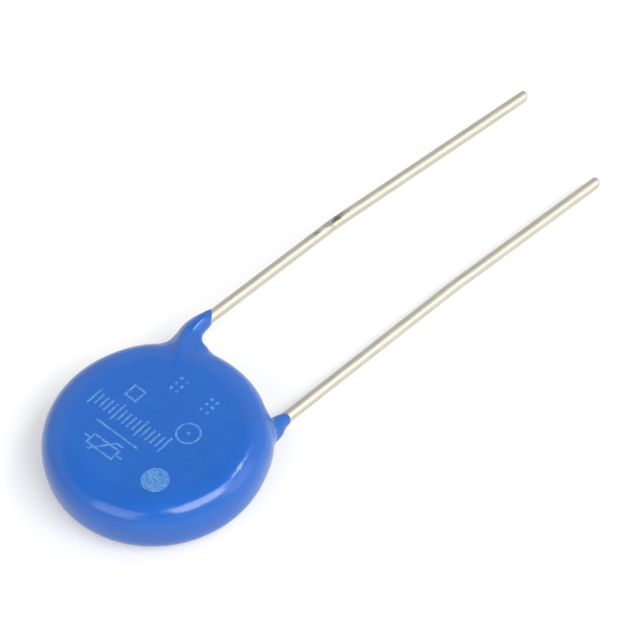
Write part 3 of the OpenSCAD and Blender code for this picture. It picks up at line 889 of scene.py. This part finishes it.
def add_softbox(name, studio, azimuth, elevation, size, radiance):
    """A rectangular lamp that faces the target. An area light's power is its radiance times its area
    times pi."""
    light = bpy.data.lights.new(name, "AREA")
    light.shape = "RECTANGLE"
    light.size, light.size_y = size
    light.energy = radiance * size[0] * size[1] * math.pi
    lamp = add_object(name, light)
    way = toward(studio, math.radians(azimuth), math.radians(elevation))
    lamp.location = Vector(studio.target) + way * SOFTBOX_DISTANCE
    lamp.rotation_euler = (-way).to_track_quat("-Z", "Y").to_euler()


def add_camera(studio):
    """The camera from its heading, its tilt, its distance to the target and its roll, which turns its
    right and up about the way it looks."""
    flat = Vector((math.sin(studio.azimuth), math.cos(studio.azimuth), 0))
    forward = flat * math.cos(studio.elevation) - Vector((0, 0, math.sin(studio.elevation)))
    right = Vector((math.cos(studio.azimuth), -math.sin(studio.azimuth), 0))
    up = right.cross(forward)
    across = right * math.cos(studio.roll) + up * math.sin(studio.roll)
    upward = up * math.cos(studio.roll) - right * math.sin(studio.roll)
    data = bpy.data.cameras.new("camera")
    data.lens = studio.lens
    data.clip_start = 10 * MM
    camera = add_object("camera", data)
    turn = Matrix((across, upward, -forward)).transposed().to_4x4()
    camera.matrix_world = Matrix.Translation(Vector(studio.target) - forward * studio.distance) @ turn
    bpy.context.scene.camera = camera


def tent_world(studio):
    """A white tent with a soft-edged darker opening overhead: the brightness eases from the opening's
    to the tent's, and further out to the horizon's, as a direction turns away from its middle."""
    gap = toward(studio, studio.gap_azimuth, studio.gap_elevation)
    world = bpy.data.worlds.new("studio")
    tree = empty_tree(world)
    direction = add_node(tree, "ShaderNodeTexCoord").outputs["Generated"]
    closeness = add_node(tree, "ShaderNodeVectorMath", {"operation": "DOT_PRODUCT"}, {
        0: direction, 1: gap})
    level = add_node(tree, "ShaderNodeMapRange", {"interpolation_type": "SMOOTHSTEP"}, {
        "Value": closeness.outputs["Value"], "From Min": math.cos(studio.gap_outer),
        "From Max": math.cos(studio.gap_inner), "To Min": studio.tent, "To Max": studio.gap})
    low = add_node(tree, "ShaderNodeMapRange", {"interpolation_type": "SMOOTHSTEP"}, {
        "Value": closeness.outputs["Value"], "From Min": math.cos(studio.horizon_outer),
        "From Max": math.cos(studio.horizon_inner),
        "To Min": studio.horizon - studio.tent, "To Max": 0.0})
    both = add_node(tree, "ShaderNodeMath", {"operation": "ADD"}, {
        0: level.outputs["Result"], 1: low.outputs["Result"]})
    background = add_node(tree, "ShaderNodeBackground", inputs={"Strength": both.outputs[0]})
    add_node(tree, "ShaderNodeOutputWorld", inputs={"Surface": background.outputs[0]})
    return world


class VARISTOR_OT_studio(Operator):
    """Adds the pale floor, the soft lights and the camera"""
    bl_idname = "varistor.studio"
    bl_label = "Studio"

    def execute(self, context):
        scene = context.scene
        studio = scene.varistor_studio
        scene.view_settings.view_transform = "Standard"
        mesh = bpy.data.meshes.new("floor")
        corners = [(x * FLOOR_HALF, y * FLOOR_HALF, 0) for x, y in SQUARE]
        mesh.from_pydata(corners, [], [(0, 1, 2, 3)])
        floor = add_object("floor", mesh)
        mesh.materials.append(paper_material(studio.floor_tone, studio.floor_glow))
        scene.world = tent_world(studio)
        for name, values in SOFTBOXES.items():
            add_softbox(name, studio, *values)
        add_camera(studio)
        return {"FINISHED"}


class VARISTOR_PT_panel(Panel):
    """Lists the steps that make the varistor"""
    bl_label = "Varistor"
    bl_idname = "VARISTOR_PT_panel"
    bl_space_type = "VIEW_3D"
    bl_region_type = "UI"
    bl_category = "Varistor"

    def draw(self, context):
        for step in STEPS:
            self.layout.operator(step)


STEPS = ("varistor.coating", "varistor.marks", "varistor.leads", "varistor.core", "varistor.studio")
SETTINGS = {
    "varistor_coating": CoatingSettings, "varistor_marks": MarkSettings, "varistor_leads": LeadSettings,
    "varistor_studio": StudioSettings}
CLASSES = (
    LeadSettings, CoatingSettings, MarkSettings, StudioSettings, VARISTOR_OT_coating, VARISTOR_OT_marks,
    VARISTOR_OT_leads, VARISTOR_OT_core, VARISTOR_OT_studio, VARISTOR_PT_panel)


def register():
    """Registers every class and gives the scene its settings."""
    for cls in CLASSES:
        bpy.utils.register_class(cls)
    for name, cls in SETTINGS.items():
        setattr(bpy.types.Scene, name, PointerProperty(type=cls))


def unregister():
    """Takes both away again."""
    for name in SETTINGS:
        delattr(bpy.types.Scene, name)
    for cls in reversed(CLASSES):
        bpy.utils.unregister_class(cls)


def main():
    register()
    bpy.ops.varistor.coating()
    bpy.ops.varistor.marks()
    bpy.ops.varistor.leads()
    bpy.ops.varistor.core()
    bpy.ops.varistor.studio()


if __name__ == "__main__":
    main()
